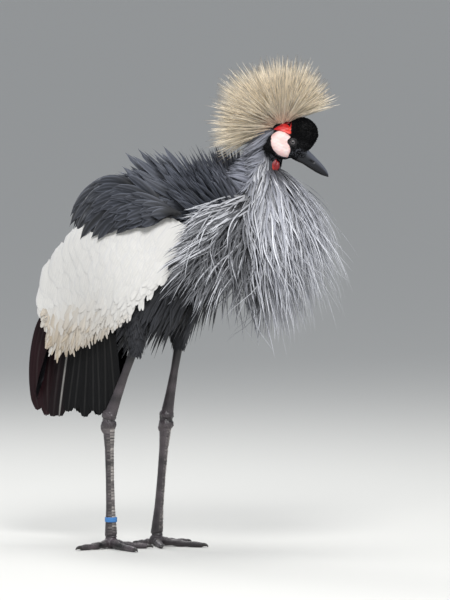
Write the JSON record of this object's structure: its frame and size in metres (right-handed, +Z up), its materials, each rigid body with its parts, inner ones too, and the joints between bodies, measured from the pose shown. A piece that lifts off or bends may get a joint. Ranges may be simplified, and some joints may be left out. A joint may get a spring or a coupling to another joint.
{
  "type": "grey crowned crane figure",
  "caption": "Life-size still figure of a standing grey crowned crane with ruffled plumage, folded wings and a bristly straw crest.",
  "frame": {"origin": "on the floor, under the middle of the bird's bounding box", "axes": "+X forward along the body, +Y the bird's left, +Z up"},
  "size_m": [0.6344, 0.303, 0.8695],
  "materials": {
    "slate_plumage": "long loose slate-grey body feathers, darker below",
    "pale_grey_plumage": "long narrow pale grey neck feathers with white edges",
    "black_velvet": "short dense black velvet feathers",
    "crest_bristle": "stiff straw-coloured bristles with dark tips",
    "white_covert": "smooth white covert feathers, straw towards the rear",
    "flight_feather": "stiff maroon to black flight feathers",
    "tail_feather": "stiff black tail feathers",
    "white_face_skin": "bare finely grained white skin",
    "red_skin": "bare scarlet skin",
    "bill_horn": "smooth dark grey horn",
    "eye": "wet pale grey-blue iris with a black pupil",
    "leg_scale": "dry dark scaled skin",
    "claw_horn": "worn dark horn",
    "ring_plastic": "moulded blue plastic"
  },
  "bodies": {
    "root": {"head": "black_velvet", "eye_right": "eye", "cheek_right": "white_face_skin", "red_patch_right": "red_skin", "eye_left": "eye", "cheek_left": "white_face_skin", "red_patch_left": "red_skin", "bill_upper": "bill_horn", "bill_lower": "bill_horn", "wattle": "red_skin", "leg_right": "leg_scale", "foot_right": "leg_scale", "claw_right_1": "claw_horn", "claw_right_2": "claw_horn", "claw_right_3": "claw_horn", "claw_right_4": "claw_horn", "leg_left": "leg_scale", "foot_left": "leg_scale", "claw_left_1": "claw_horn", "claw_left_2": "claw_horn", "claw_left_3": "claw_horn", "claw_left_4": "claw_horn", "leg_ring": "ring_plastic", "tail": "tail_feather", "wing_right": "white_covert", "tertials_right": "slate_plumage", "remiges_right": "flight_feather", "wing_left": "white_covert", "tertials_left": "slate_plumage", "remiges_left": "flight_feather", "torso": "slate_plumage", "neck": "pale_grey_plumage", "crest": "crest_bristle"}
  },
  "joints": []
}
